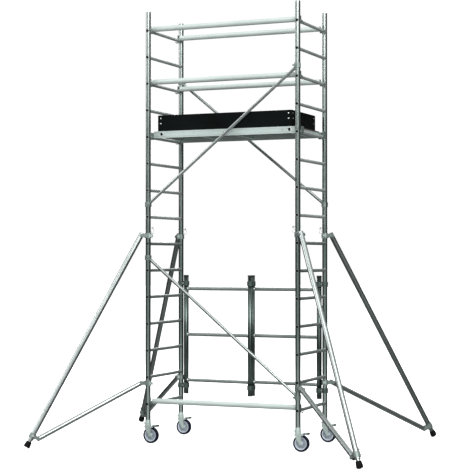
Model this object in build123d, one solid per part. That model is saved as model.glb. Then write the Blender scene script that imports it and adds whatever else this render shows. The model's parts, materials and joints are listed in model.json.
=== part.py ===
"""Folding-base rolling scaffold tower, one section of frames high and one deck.

Millimetres, +Z up. Origin on the ground, midway between the four uprights.
X runs along the deck, Y along the rungs, front is -Y.
"""
from build123d import *
import math
import os

# ---- overall sizes -------------------------------------------------------
BAY_LENGTH = 1500.0        # upright axis to upright axis, along X
BAY_DEPTH = 715.0          # upright axis to upright axis, along Y
RUNG_PITCH = 250.0
LOWER_RUNGS = 7
UPPER_RUNGS = 8
FIRST_RUNG_RISE = 175.0    # lowest rung above the foot of its uprights
RUNG_TO_TUBE_TOP = 176.0   # last rung of a frame to the top of its uprights

# ---- tubes ---------------------------------------------------------------
TUBE_R = 24.15
TUBE_WALL = 3.0
RUNG_R = 15.0
RUNG_WALL = 2.0
RUNG_PROUD = 1.0           # rung end past the outside of the upright
SPIGOT_CLEAR = 0.15
SPIGOT_WALL = 3.0
SPIGOT_LENGTH = 150.0      # reach of a spigot into the frame below
SPIGOT_RUNG_GAP = 9.0      # top of a spigot below the first rung above it
SOCKET_EASE = 0.215        # socket at the top of an upright, over its bore radius
SOCKET_END_GAP = 5.0       # bottom of the socket below the spigot in it
JOINT_PIN_R = 4.0
JOINT_PIN_DROP = 28.0      # pin below the frame joint
JOINT_PIN_REACH = 44.0     # pin head from the upright axis

# ---- folding back panel --------------------------------------------------
HINGE_BETWEEN = 8.7        # gap between two hinged posts
PANEL_FOOT_SHARE = 0.16    # foot of the posts above the lowest rung, of a rung pitch
PANEL_POST_LENGTH = 1155.0
PANEL_RAIL_INSET = 130.0   # outer rails from the ends of the posts
PANEL_RAIL_R = 17.0
HINGE_INSET = 78.0         # hinge brackets from the ends of the posts
HINGE_HEIGHT = 44.0
HINGE_WALL = 6.0

# ---- horizontal braces (guardrails and bottom brace) ----------------------
BRACE_R = 25.0
BRACE_WALL = 2.5
BRACE_GAP = 9.85           # brace tube inside the upright, along Y
BRACE_RISE = 22.0          # brace axis above the rung it hooks on
HOOK_WIDTH = 38.0
HOOK_WALL = 7.0
HOOK_PLUG = 70.0           # hook casting inside the brace tube
GUARDRAIL_RUNGS = (12, 14)
LATCH_THICK = 5.0

# ---- diagonal braces -----------------------------------------------------
DIAGONAL_R = 14.0
DIAGONAL_WALL = 2.0
CLAW_HEIGHT = 44.0
CLAW_WALL = 7.0
CLAW_PLUG = 60.0
CLAW_NECK = 52.0           # diagonal tube end to the upright axis
CLAW_SLIT = 30.0           # mouth of the claw
CLAW_SHARE = 0.472         # claw above the rung below it, of a rung pitch
CLAW_TOP_SHARE = 0.38      # the same, at the upper end of the upper diagonals
LOWER_DIAGONAL_RUNGS = (0, 5)
UPPER_DIAGONAL_RUNGS = (7, 12)

# ---- platform ------------------------------------------------------------
PLATFORM_RUNG = 10
PLATFORM_SIDE_GAP = 23.35  # beam to the inside of the uprights
BEAM_THICK = 28.0
BEAM_HEIGHT = 62.0
BEAM_WALL = 3.0
DECK_RISE = 55.0           # deck top above the rung axis
DECK_THICK = 12.0
PLATFORM_END_GAP = 34.0    # beam end to the rung axis
CROSS_THICK = 30.0
CROSS_HEIGHT = 34.0
CLAW_DECK_WIDTH = 50.0
CLAW_DECK_WALL = 8.0
HATCH_END_STRIP = 116.0    # hatch opening to the end of the deck
HATCH_SIDE_STRIP = 47.0    # hatch opening to the side beams
HATCH_LENGTH = 555.0
HATCH_GAP = 2.5            # hatch to deck, all round
REST_GAP = 0.3             # hatch above the cross members it rests on
HATCH_PIN_R = 3.0
HATCH_PIN_RISE = 5.5       # hinge pin axis above the deck
KNUCKLE_R = 5.2
KNUCKLE_LENGTH = 30.0
PIN_CLEAR = 0.06
TOE_HEIGHT = 150.0
TOE_THICK = 18.0
TOE_INSET_X = 77.0         # outside of an end board inside the upright axis
TOE_SET_IN = 1.5           # side board inside the outer face of its beam
TOE_BRACKET = 32.0
TOE_BRACKET_THICK = 3.0

# ---- castors -------------------------------------------------------------
WHEEL_R = 75.0
TYRE_THICK = 17.0
WHEEL_WIDTH = 42.0
HUB_WIDTH = 36.0
TRAIL = 32.0               # axle behind the swivel axis
AXLE_R = 6.0
STEM_LENGTH = 110.0
HOUSING_R = 27.5
HOUSING_HEIGHT = 26.7
CROWN_GAP = 6.0            # crown above the wheel
CROWN_THICK = 7.0
RACE_GAP = 0.3
KINGPIN_R = 6.0
FORK_SIDE_GAP = 3.5        # fork leg to the tyre
FORK_THICK = 4.0
FORK_EYE_R = 13.5
PEDAL_PIVOT_BACK = 22.0    # pedal pivot behind the axle
PEDAL_PIN_R = 3.0
PEDAL_EYE_R = 6.5
PEDAL_REACH = 42.0
PEDAL_THICK = 12.0
PEDAL_SIDE_GAP = 0.4

# ---- stabilisers ---------------------------------------------------------
STAB_HEADING = 43.0        # from the length of the deck, degrees
STAB_TOP_SHARE = 0.3       # upper coupler above the lower frame's top rung, of a pitch
STAB_LOW_SHARE = 0.22      # lower coupler below the second rung, of a pitch
STAB_REACH = 1155.0        # upright axis to the middle of the foot
STAB_TUBE_R = 24.15
STAB_TUBE_WALL = 3.0
STAB_INNER_R = 19.0
STAB_INNER_WALL = 2.5
STAB_BRACE_R = 22.5
STAB_BRACE_WALL = 2.0
STAB_PIVOT_GAP = 21.7      # main tube to the upright, level with the bolt
STAB_TUBE_END_Z = 78.0     # height where the outer tube stops
STAB_CLAMP_BACK = 34.0     # brace clamp above the end of the outer tube
STAB_CLAMP_GAP = 13.85     # brace to the main tube, at the clamp's bolt
STAB_TAIL = 26.0           # tube past its pivot bolt
COUPLER_HEIGHT = 46.0
COUPLER_WALL = 7.0
COUPLER_PLATE = 6.0
COUPLER_CLEAR = 0.08
BOLT_R = 6.0
BOLT_HEAD_R = 10.0
BOLT_HEAD = 7.0
INNER_LAP = 420.0          # inner tube inside the outer tube
FOOT_R = 30.0
FOOT_LENGTH = 57.0
FOOT_PAD = 24.0            # full-width lower part of the foot
FOOT_NECK_R = 24.5
FOOT_ROUND = 10.0          # rounding of the foot's lower edge
FOOT_SOLE = 14.0           # rubber below the inner tube
BUSH_LENGTH = 40.0         # guide bush inside the end of the outer tube
LOCK_RISE = 74.0           # spring plunger above the end of the outer tube
LOCK_BOSS_R = 10.0
LOCK_BOSS_STAND = 5.0
PLUNGER_R = 4.0
PLUNGER_GAP = 0.3          # plunger tip to the inner tube
PLUNGER_HEAD_R = 7.0
PLUNGER_HEAD = 7.0

# ---- derived -------------------------------------------------------------
HALF_X = BAY_LENGTH / 2
HALF_Y = BAY_DEPTH / 2
BORE_R = TUBE_R - TUBE_WALL
SOCKET_R = BORE_R + SOCKET_EASE
SOCKET_DEPTH = SPIGOT_LENGTH + SOCKET_END_GAP
CROWN_Z = 2 * WHEEL_R + CROWN_GAP
FRAME_FOOT_Z = CROWN_Z + CROWN_THICK + RACE_GAP + HOUSING_HEIGHT
FIRST_RUNG_Z = FRAME_FOOT_Z + FIRST_RUNG_RISE
SPIGOT_HOLD = RUNG_PITCH - RUNG_TO_TUBE_TOP - RUNG_R - SPIGOT_RUNG_GAP
HINGE_SPACING = 2 * TUBE_R + HINGE_BETWEEN
PANEL_FOOT_Z = FIRST_RUNG_Z + PANEL_FOOT_SHARE * RUNG_PITCH
PLATFORM_WIDTH = BAY_DEPTH - 2 * (TUBE_R + PLATFORM_SIDE_GAP)
PEDAL_PIVOT_X = TRAIL + PEDAL_PIVOT_BACK
PEDAL_PIVOT_Z = CROWN_Z
STAB_PIVOT = TUBE_R + STAB_TUBE_R + STAB_PIVOT_GAP
STAB_TOP_Z = FIRST_RUNG_Z + (LOWER_RUNGS - 1 + STAB_TOP_SHARE) * RUNG_PITCH
STAB_LOW_Z = FIRST_RUNG_Z + (1 - STAB_LOW_SHARE) * RUNG_PITCH
STAB_JOINT_Z = STAB_TUBE_END_Z + STAB_CLAMP_BACK
STAB_JOINT_OFFSET = STAB_TUBE_R + STAB_BRACE_R + STAB_CLAMP_GAP
JOINT_Z = FIRST_RUNG_Z + (LOWER_RUNGS - 1) * RUNG_PITCH + RUNG_TO_TUBE_TOP
TOP_Z = FIRST_RUNG_Z + (LOWER_RUNGS + UPPER_RUNGS - 1) * RUNG_PITCH + RUNG_TO_TUBE_TOP
DECK_Z = FIRST_RUNG_Z + PLATFORM_RUNG * RUNG_PITCH + DECK_RISE
BRACE_Y = HALF_Y - TUBE_R - BRACE_GAP - BRACE_R
CORNERS = {"fl": (-1, -1), "fr": (1, -1), "bl": (-1, 1), "br": (1, 1)}
START = (Align.CENTER, Align.CENTER, Align.MIN)


def rung_z(index):
    return FIRST_RUNG_Z + index * RUNG_PITCH


def rod(start, end, radius):
    """Solid cylinder from one point to another."""
    run = Vector(*end) - Vector(*start)
    return Plane(origin=start, z_dir=run) * Cylinder(radius, run.length, align=START)


def pipe(start, end, radius, wall):
    """Hollow tube from one point to another."""
    return rod(start, end, radius) - rod(start, end, radius - wall)


def block(x0, x1, y0, y1, z0, z1):
    """Box between opposite corners."""
    low = (Align.MIN, Align.MIN, Align.MIN)
    return Pos(min(x0, x1), min(y0, y1), min(z0, z1)) * Box(
        abs(x1 - x0), abs(y1 - y0), abs(z1 - z0), align=low)


def group(pieces):
    """Separate solids that share one node."""
    solids = []
    for piece in pieces:
        solids.extend(piece.solids())
    return Compound(children=solids)


# ---- frames --------------------------------------------------------------
def upright(sx, sy, z0, z1, rungs):
    x, y = sx * HALF_X, sy * HALF_Y
    tube = pipe((x, y, z0), (x, y, z1), TUBE_R, TUBE_WALL)
    tube -= rod((x, y, z1 - SOCKET_DEPTH), (x, y, z1), SOCKET_R)
    reach = TUBE_R + RUNG_PROUD
    for index in rungs:
        z = rung_z(index)
        tube -= rod((x, y - reach, z), (x, y + reach, z), RUNG_R)
    return tube


def pin_hole(sx, sy):
    z = JOINT_Z - JOINT_PIN_DROP
    x, y = sx * HALF_X, sy * HALF_Y
    return rod((x - TUBE_R - 1, y, z), (x + TUBE_R + 1, y, z), JOINT_PIN_R)


def lower_uprights():
    rungs = range(LOWER_RUNGS)
    return group(upright(sx, sy, FRAME_FOOT_Z, JOINT_Z, rungs) - pin_hole(sx, sy)
                 for sx, sy in CORNERS.values())


def upper_uprights():
    rungs = range(LOWER_RUNGS, LOWER_RUNGS + UPPER_RUNGS)
    return group(upright(sx, sy, JOINT_Z, TOP_Z, rungs) for sx, sy in CORNERS.values())


def rungs_of(indices):
    reach = HALF_Y + TUBE_R + RUNG_PROUD
    return group(pipe((sx * HALF_X, -reach, rung_z(i)), (sx * HALF_X, reach, rung_z(i)),
                      RUNG_R, RUNG_WALL)
                 for sx in (-1, 1) for i in indices)


def spigots():
    radius = BORE_R - SPIGOT_CLEAR
    pieces = []
    for sx, sy in CORNERS.values():
        x, y = sx * HALF_X, sy * HALF_Y
        z0, z1 = JOINT_Z - SPIGOT_LENGTH, JOINT_Z + SPIGOT_HOLD
        tube = pipe((x, y, z0), (x, y, JOINT_Z), radius, SPIGOT_WALL)
        tube += pipe((x, y, JOINT_Z), (x, y, z1), BORE_R, SPIGOT_WALL + SPIGOT_CLEAR)
        pieces.append(tube - pin_hole(sx, sy))
    return group(pieces)


def joint_pins():
    """Headed locking pins through the lower upright and the spigot."""
    z = JOINT_Z - JOINT_PIN_DROP
    pieces = []
    for sx, sy in CORNERS.values():
        x, y = sx * HALF_X, sy * HALF_Y
        far, near = x + sx * (TUBE_R + 8), x - sx * JOINT_PIN_REACH
        pin = rod((far, y, z), (near, y, z), JOINT_PIN_R)
        pin += rod((near, y, z), (near - sx * 6, y, z), JOINT_PIN_R * 2.2)
        pieces.append(pin)
    return group(pieces)


# ---- folding back panel --------------------------------------------------
def half_panel(a, b):
    """Two posts and three rails between plan points a and b."""
    top = PANEL_FOOT_Z + PANEL_POST_LENGTH
    posts = [pipe((*p, PANEL_FOOT_Z), (*p, top), TUBE_R, TUBE_WALL) for p in (a, b)]
    low, high = PANEL_FOOT_Z + PANEL_RAIL_INSET, top - PANEL_RAIL_INSET
    rails = []
    for z in (low, (low + high) / 2, high):
        rail = pipe((*a, z), (*b, z), PANEL_RAIL_R, RUNG_WALL)
        for p in (a, b):
            rail -= rod((*p, z - 60), (*p, z + 60), TUBE_R)
        rails.append(rail)
    return group(posts + rails)


def panel_points():
    """Plan positions of the four panel posts, left to right."""
    end = HALF_X - HINGE_SPACING
    half = HINGE_SPACING / 2
    return (-end, HALF_Y), (0.0, HALF_Y - half), (0.0, HALF_Y + half), (end, HALF_Y)


def hinge_bracket(a, b, z):
    """Clamp that holds two parallel posts side by side."""
    low, high = z - HINGE_HEIGHT / 2, z + HINGE_HEIGHT / 2
    outer = TUBE_R + HINGE_WALL
    body = rod((*a, low), (*a, high), outer) + rod((*b, low), (*b, high), outer)
    mid = ((a[0] + b[0]) / 2, (a[1] + b[1]) / 2, z)
    body += Pos(*mid) * Box(HINGE_SPACING / 2, HINGE_SPACING / 2, HINGE_HEIGHT)
    for p in (a, b):
        body -= rod((*p, low - 1), (*p, high + 1), TUBE_R)
    return body


def panel_hinges():
    left, inner, outer, right = panel_points()
    pairs = (((-HALF_X, HALF_Y), left), (inner, outer), (right, (HALF_X, HALF_Y)))
    levels = (PANEL_FOOT_Z + HINGE_INSET, PANEL_FOOT_Z + PANEL_POST_LENGTH - HINGE_INSET)
    return group(hinge_bracket(a, b, z) for a, b in pairs for z in levels)


# ---- horizontal braces ---------------------------------------------------
def brace_places():
    """Side and rung of every horizontal brace."""
    places = [(sy, rung) for sy in (-1, 1) for rung in GUARDRAIL_RUNGS]
    places.append((-1, 0))
    return places


def horizontal_braces():
    end = HALF_X - RUNG_R - HOOK_WALL
    return group(pipe((-end, sy * BRACE_Y, rung_z(r) + BRACE_RISE),
                      (end, sy * BRACE_Y, rung_z(r) + BRACE_RISE), BRACE_R, BRACE_WALL)
                 for sy, r in brace_places())


def rail_hook(sx, sy, rung):
    """Casting over the rung, plugged into the brace, and its latch under the rung."""
    x, y, z = sx * HALF_X, sy * BRACE_Y, rung_z(rung)
    half = HOOK_WIDTH / 2
    outer = RUNG_R + HOOK_WALL
    end = x - sx * outer
    cast = rod((x, y - half, z), (x, y + half, z), outer)
    cast += block(x, end, y - half, y + half, z - RUNG_R, z + outer)
    cast -= block(x - sx * RUNG_R, x + sx * (outer + 1), y - half - 1, y + half + 1,
                  z - outer - 1, z)
    cast += rod((end, y, z + BRACE_RISE), (end - sx * HOOK_PLUG, y, z + BRACE_RISE),
                BRACE_R - BRACE_WALL)
    cast -= rod((x, y - half - 1, z), (x, y + half + 1, z), RUNG_R)
    handle = block(x + sx * 8, x + sx * 8 - sx * LATCH_THICK, y - 12, y + 12,
                   z + outer - 1.5, z + outer + 30)
    latch = block(x - sx * outer, x + sx * (RUNG_R + 12), y - 9, y + 9,
                  z - RUNG_R - LATCH_THICK, z - RUNG_R)
    tail = Pos(x + sx * (RUNG_R + 12), y, z - RUNG_R - LATCH_THICK / 2) * Rot(
        0, -sx * 35, 0) * Box(26, 18, LATCH_THICK)
    return [cast + handle, latch + tail]


def rail_hooks():
    pieces = []
    for sy, rung in brace_places():
        for sx in (-1, 1):
            pieces += rail_hook(sx, sy, rung)
    return group(pieces)


# ---- diagonal braces -----------------------------------------------------
def diagonal_ends():
    """End points of every diagonal, on the upright axes."""
    low, high = (rung_z(i + CLAW_SHARE) for i in LOWER_DIAGONAL_RUNGS)
    joint = rung_z(UPPER_DIAGONAL_RUNGS[0] + CLAW_SHARE)
    top = rung_z(UPPER_DIAGONAL_RUNGS[1] + CLAW_TOP_SHARE)
    return (
        ((-HALF_X, -HALF_Y, joint), (HALF_X, -HALF_Y, top)),
        ((HALF_X, HALF_Y, joint), (-HALF_X, HALF_Y, top)),
        ((HALF_X, -HALF_Y, low), (-HALF_X, -HALF_Y, high)),
    )


def along(start, end, distance):
    """Point at a distance from start towards end."""
    run = Vector(*end) - Vector(*start)
    spot = Vector(*start) + run.normalized() * distance
    return (spot.X, spot.Y, spot.Z)


def diagonal_braces():
    return group(pipe(along(a, b, CLAW_NECK), along(b, a, CLAW_NECK), DIAGONAL_R, DIAGONAL_WALL)
                 for a, b in diagonal_ends())


def claw(start, end):
    """C shaped claw round an upright, plugged into the diagonal, with its wedge."""
    x, y, z = start
    side = 1 if end[0] > x else -1
    low, high = z - CLAW_HEIGHT / 2, z + CLAW_HEIGHT / 2
    outer = TUBE_R + CLAW_WALL
    body = rod((x, y, low), (x, y, high), outer)
    body += rod(start, along(start, end, CLAW_NECK), DIAGONAL_R)
    body += rod(start, along(start, end, CLAW_NECK + CLAW_PLUG), DIAGONAL_R - DIAGONAL_WALL)
    body -= rod((x, y, low - CLAW_NECK), (x, y, high + CLAW_NECK), TUBE_R)
    out = 1 if y > 0 else -1
    mouth = Pos(x - side * TUBE_R, y - out * 8, z) * Box(
        2 * TUBE_R, CLAW_SLIT, CLAW_HEIGHT + 2)
    body -= mouth
    wedge = block(x + side * 4, x + side * (outer + 6), y + out * outer,
                  y + out * (outer + 6), z - 9, z + 9)
    return body + wedge


def diagonal_clamps():
    pieces = []
    for a, b in diagonal_ends():
        pieces.append(claw(a, b))
        pieces.append(claw(b, a))
    return group(pieces)


# ---- platform ------------------------------------------------------------
def beam_end():
    return HALF_X - PLATFORM_END_GAP


def hatch_box(margin):
    """Corners of the hatch opening, shrunk by a margin: x0, x1, y0, y1."""
    half = PLATFORM_WIDTH / 2 - BEAM_THICK - HATCH_SIDE_STRIP
    far = beam_end() - HATCH_END_STRIP
    return (far - HATCH_LENGTH + margin, far - margin, -half + margin, half - margin)


def platform_frame():
    """Two side beams and the cross members that carry the deck."""
    end = beam_end()
    low = DECK_Z - BEAM_HEIGHT
    outside = PLATFORM_WIDTH / 2
    inside = outside - BEAM_THICK
    pieces = []
    for sy in (-1, 1):
        beam = block(-end, end, sy * inside, sy * outside, low, DECK_Z)
        beam -= block(-end - 1, end + 1, sy * (inside + BEAM_WALL), sy * (outside - BEAM_WALL),
                      low + BEAM_WALL, DECK_Z - BEAM_WALL)
        pieces.append(beam)
    x0, x1, _, _ = hatch_box(0)
    half = CROSS_THICK / 2
    top = DECK_Z - DECK_THICK
    for x in (-end + half, -(end - x0) / 2 + x0 / 2, x0 - half + 12, x1 + half - 12, end - half):
        bar = block(x - half, x + half, -inside, inside, top - CROSS_HEIGHT, top)
        bar -= block(x - half + BEAM_WALL, x + half - BEAM_WALL, -inside - 1, inside + 1,
                     top - CROSS_HEIGHT + BEAM_WALL, top - BEAM_WALL)
        pieces.append(bar)
    return group(pieces)


def platform_hooks():
    """Four claws over the rungs, each plugged into a beam, with a wind latch."""
    z = rung_z(PLATFORM_RUNG)
    half = CLAW_DECK_WIDTH / 2
    outer = RUNG_R + CLAW_DECK_WALL
    plug_y0 = PLATFORM_WIDTH / 2 - BEAM_THICK + BEAM_WALL
    plug_y1 = PLATFORM_WIDTH / 2 - BEAM_WALL
    mid = PLATFORM_WIDTH / 2 - half
    pieces = []
    for sx, sy in CORNERS.values():
        x, y = sx * HALF_X, sy * mid
        hook = rod((x, y - half, z), (x, y + half, z), outer)
        hook += block(x, x - sx * PLATFORM_END_GAP, y - half, y + half,
                      z - RUNG_R + 8, z + DECK_RISE - 12)
        hook += block(x - sx * PLATFORM_END_GAP, x - sx * (PLATFORM_END_GAP + 70),
                      sy * plug_y0, sy * plug_y1,
                      DECK_Z - BEAM_HEIGHT + BEAM_WALL, DECK_Z - BEAM_WALL)
        hook += block(x + sx * (RUNG_R + 1), x + sx * outer, y - half, y + half,
                      z, z + DECK_RISE - 2)
        hook -= rod((x, y - half - 1, z), (x, y + half + 1, z), RUNG_R)
        hook -= block(x - sx * RUNG_R, x + sx * (outer + 1), y - half - 1, y + half + 1,
                      z - outer - 1, z)
        latch = block(x - sx * PLATFORM_END_GAP, x + sx * (RUNG_R + 6), y - 8, y + 8,
                      z - RUNG_R - LATCH_THICK, z - RUNG_R)
        latch += block(x - sx * (RUNG_R + 8), x - sx * PLATFORM_END_GAP, y - 8, y + 8,
                       z - RUNG_R, z - RUNG_R + 8)
        pieces += [hook, latch]
    return group(pieces)


def deck_boards():
    """Main board, end strip and two side strips round the hatch opening."""
    inside = PLATFORM_WIDTH / 2 - BEAM_THICK
    end = beam_end()
    x0, x1, y0, y1 = hatch_box(0)
    low = DECK_Z - DECK_THICK
    return group([block(-end, x0, -inside, inside, low, DECK_Z),
                  block(x1, end, -inside, inside, low, DECK_Z),
                  block(x0, x1, -inside, y0, low, DECK_Z),
                  block(x0, x1, y1, inside, low, DECK_Z)])


def hatch_axis():
    """Y and Z of the hatch hinge pin."""
    return hatch_box(0)[3], DECK_Z + HATCH_PIN_RISE


def knuckle_starts():
    """X where each hinge begins: three knuckles, the middle one on the hatch."""
    x0, x1, _, _ = hatch_box(0)
    return x0 + 70, x1 - 70 - 3 * KNUCKLE_LENGTH


def trapdoor():
    x0, x1, y0, y1 = hatch_box(HATCH_GAP)
    panel = block(x0, x1, y0, y1, DECK_Z - DECK_THICK + REST_GAP, DECK_Z)
    grip_x = (x0 + x1) / 2
    panel -= block(grip_x - 50, grip_x + 50, y0 + 40, y0 + 68,
                   DECK_Z - DECK_THICK - 1, DECK_Z + 1)
    y, z = hatch_axis()
    for start in knuckle_starts():
        a, b = start + KNUCKLE_LENGTH + 0.3, start + 2 * KNUCKLE_LENGTH - 0.3
        panel += block(a, b, y1 - 36, y - KNUCKLE_R + 1, DECK_Z, DECK_Z + 3)
        panel += rod((a, y, z), (b, y, z), KNUCKLE_R)
        panel -= rod((a - 1, y, z), (b + 1, y, z), HATCH_PIN_R + PIN_CLEAR)
    return group([panel])


def trapdoor_hinges():
    """Fixed knuckles screwed to the deck, with a pin through each hinge."""
    y, z = hatch_axis()
    pieces = []
    for start in knuckle_starts():
        stop = start + 3 * KNUCKLE_LENGTH
        pieces.append(rod((start - 2, y, z), (stop + 2, y, z), HATCH_PIN_R))
        for a in (start, stop - KNUCKLE_LENGTH):
            b = a + KNUCKLE_LENGTH
            leaf = rod((a, y, z), (b, y, z), KNUCKLE_R)
            leaf += block(a, b, y + KNUCKLE_R - 1, y + 36, DECK_Z, DECK_Z + 3)
            leaf -= rod((a - 1, y, z), (b + 1, y, z), HATCH_PIN_R)
            pieces.append(leaf)
    return group(pieces)


def toe_boards():
    """Four boards on edge round the deck, with an angle bracket in each corner."""
    x, y = HALF_X - TOE_INSET_X, PLATFORM_WIDTH / 2 - TOE_SET_IN
    z0, z1 = DECK_Z, DECK_Z + TOE_HEIGHT
    inner = y - TOE_THICK
    pieces = []
    for s in (-1, 1):
        pieces.append(block(-x, x, s * inner, s * y, z0, z1))
        pieces.append(block(s * (x - TOE_THICK), s * x, -inner, inner, z0, z1))
    for sx, sy in CORNERS.values():
        cx, cy = sx * (x - TOE_THICK), sy * inner
        angle = block(cx, cx - sx * TOE_BRACKET, cy, cy - sy * TOE_BRACKET_THICK, z0, z1 - 8)
        angle += block(cx, cx - sx * TOE_BRACKET_THICK, cy, cy - sy * TOE_BRACKET, z0, z1 - 8)
        pieces.append(angle)
    return group(pieces)


# ---- castors -------------------------------------------------------------
def castor_stems():
    """Stem in the upright, housing under it and the kingpin with its nut."""
    crown = CROWN_Z
    seat = crown + CROWN_THICK + RACE_GAP
    nut = crown - RACE_GAP
    pieces = []
    for sx, sy in CORNERS.values():
        x, y = sx * HALF_X, sy * HALF_Y
        stem = rod((x, y, FRAME_FOOT_Z), (x, y, FRAME_FOOT_Z + STEM_LENGTH), BORE_R)
        stem += rod((x, y, seat), (x, y, FRAME_FOOT_Z), HOUSING_R)
        stem += rod((x, y, nut - 1), (x, y, seat), KINGPIN_R)
        stem += rod((x, y, nut - 6), (x, y, nut), KINGPIN_R * 1.6)
        pieces.append(stem)
    return group(pieces)


def fork_leg(y0, y1):
    crown = CROWN_Z
    top = crown + CROWN_THICK
    outline = Polyline((-26, top), (PEDAL_PIVOT_X + 8, top), (PEDAL_PIVOT_X + 8, crown - 8),
                       (TRAIL + 4, crown - 18), (TRAIL + FORK_EYE_R, WHEEL_R),
                       (TRAIL - FORK_EYE_R, WHEEL_R), (-19, crown - 18), (-26, crown - 6),
                       (-26, top))
    leg = extrude(Plane.XZ * make_face(outline), -(y1 - y0))
    leg = Pos(0, y0, 0) * leg
    leg += rod((TRAIL, y0, WHEEL_R), (TRAIL, y1, WHEEL_R), FORK_EYE_R)
    return leg


def castor_fork():
    """Crown, two legs, axle bolt and pedal pivot pin."""
    crown = CROWN_Z
    inner = WHEEL_WIDTH / 2 + FORK_SIDE_GAP
    outer = inner + FORK_THICK
    body = block(-26, PEDAL_PIVOT_X - PEDAL_EYE_R - 4, -outer, outer, crown, crown + CROWN_THICK)
    body += fork_leg(inner, outer)
    body += fork_leg(-outer, -inner)
    body -= rod((0, 0, crown - 1), (0, 0, crown + CROWN_THICK + 1), KINGPIN_R + PIN_CLEAR)
    axle = rod((TRAIL, -outer - 6, WHEEL_R), (TRAIL, outer + 6, WHEEL_R), AXLE_R)
    pin = rod((PEDAL_PIVOT_X, -outer - 2, PEDAL_PIVOT_Z),
              (PEDAL_PIVOT_X, outer + 2, PEDAL_PIVOT_Z), PEDAL_PIN_R)
    body = body - axle - pin
    heads = [rod((TRAIL, s * outer, WHEEL_R), (TRAIL, s * (outer + 6), WHEEL_R), AXLE_R * 1.7)
             for s in (-1, 1)]
    return [body, axle + heads[0] + heads[1], pin]


def wheel_hub():
    half = HUB_WIDTH / 2
    rim = WHEEL_R - TYRE_THICK
    a, b = (TRAIL, -half, WHEEL_R), (TRAIL, half, WHEEL_R)
    hub = rod(a, b, rim)
    for s in (-1, 1):
        groove = rod((TRAIL, s * (half - 10), WHEEL_R), (TRAIL, s * (half + 1), WHEEL_R), rim - 7)
        groove -= rod((TRAIL, s * (half - 11), WHEEL_R), (TRAIL, s * (half + 2), WHEEL_R), 17)
        hub -= groove
    boss_end = WHEEL_WIDTH / 2 + FORK_SIDE_GAP - 0.4
    hub += rod((TRAIL, -boss_end, WHEEL_R), (TRAIL, boss_end, WHEEL_R), 13)
    hub -= rod((TRAIL, -boss_end - 1, WHEEL_R), (TRAIL, boss_end + 1, WHEEL_R),
               AXLE_R + PIN_CLEAR)
    return [hub]


def tyre():
    half = WHEEL_WIDTH / 2
    a, b = (TRAIL, -half, WHEEL_R), (TRAIL, half, WHEEL_R)
    ring = rod(a, b, WHEEL_R)
    ring = fillet(ring.edges().filter_by(GeomType.CIRCLE), 7)
    return [ring - rod(a, b, WHEEL_R - TYRE_THICK)]


def brake_pedal():
    half = WHEEL_WIDTH / 2 + FORK_SIDE_GAP - PEDAL_SIDE_GAP
    x, z = PEDAL_PIVOT_X, PEDAL_PIVOT_Z
    pedal = rod((x, -half, z), (x, half, z), PEDAL_EYE_R)
    pedal += block(x, x + PEDAL_REACH, -half + 3, half - 3, z + 1, z + 1 + PEDAL_THICK)
    pad = Pos(x + PEDAL_REACH, 0, z + 1 + PEDAL_THICK / 2) * Box(16, 2 * half + 6, PEDAL_THICK + 5)
    pedal += pad
    pedal -= rod((x, -half - 1, z), (x, half + 1, z), PEDAL_PIN_R + PIN_CLEAR)
    return [pedal]


def at_castor(key, pieces):
    sx, sy = CORNERS[key]
    return group(Pos(sx * HALF_X, sy * HALF_Y, 0) * piece for piece in pieces)


# ---- stabilisers, drawn in the XZ plane with the upright on the Z axis ----
def stab_line():
    """Pivot, foot and unit direction of the main tube."""
    pivot = Vector(STAB_PIVOT, 0, STAB_TOP_Z)
    foot = Vector(STAB_REACH, 0, 0)
    return pivot, foot, (foot - pivot).normalized()


def stab_point(height):
    """Point of the main tube axis at a height."""
    pivot, _, run = stab_line()
    return pivot + run * ((height - pivot.Z) / run.Z)


def xyz(vector):
    return (vector.X, vector.Y, vector.Z)


def cross_bolt(spot, half):
    """Bolt along Y through a point, with a head and a nut."""
    shank = rod((spot.X, -half, spot.Z), (spot.X, half, spot.Z), BOLT_R)
    for s in (-1, 1):
        shank += rod((spot.X, s * half, spot.Z), (spot.X, s * (half + BOLT_HEAD), spot.Z),
                     BOLT_HEAD_R)
    return shank


def drill(spot):
    reach = 3 * TUBE_R
    return rod((spot.X, -reach, spot.Z), (spot.X, reach, spot.Z), BOLT_R)


def cheeks(start, end, gap, tall):
    """Two plates either side of the XZ plane, from start to past end."""
    run = end - start
    mid = start + run * 0.5
    frame = Plane(origin=xyz(mid), x_dir=xyz(run), z_dir=(-run.Z, 0, run.X))
    plates = None
    for s in (-1, 1):
        plate = frame * Pos(0, s * (gap + COUPLER_PLATE / 2), 0) * Box(
            run.length, COUPLER_PLATE, tall)
        plate += rod((end.X, s * gap, end.Z), (end.X, s * (gap + COUPLER_PLATE), end.Z), tall / 2)
        plates = plate if plates is None else plates + plate
    return plates


def upright_coupler(height, member_r, bore):
    """Ring round an upright with cheeks that hold the end of a tube."""
    low, high = height - COUPLER_HEIGHT / 2, height + COUPLER_HEIGHT / 2
    bolt = Vector(STAB_PIVOT, 0, height)
    ring = rod((0, 0, low), (0, 0, high), bore + COUPLER_WALL)
    web = block(0, bore + COUPLER_WALL + 1, -member_r, member_r, low + 4, high - 4)
    body = ring + web + cheeks(Vector(0, 0, height), bolt, member_r, COUPLER_HEIGHT * 0.7)
    body -= rod((0, 0, low - 5), (0, 0, high + 5), bore)
    half = member_r + COUPLER_PLATE
    return [body - drill(bolt), cross_bolt(bolt, half)]


def joint_bolt():
    """Bolt of the brace clamp, inside the angle between tube and upright."""
    _, _, run = stab_line()
    side = Vector(run.Z, 0, -run.X)
    return stab_point(STAB_JOINT_Z) + side * STAB_JOINT_OFFSET


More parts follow.
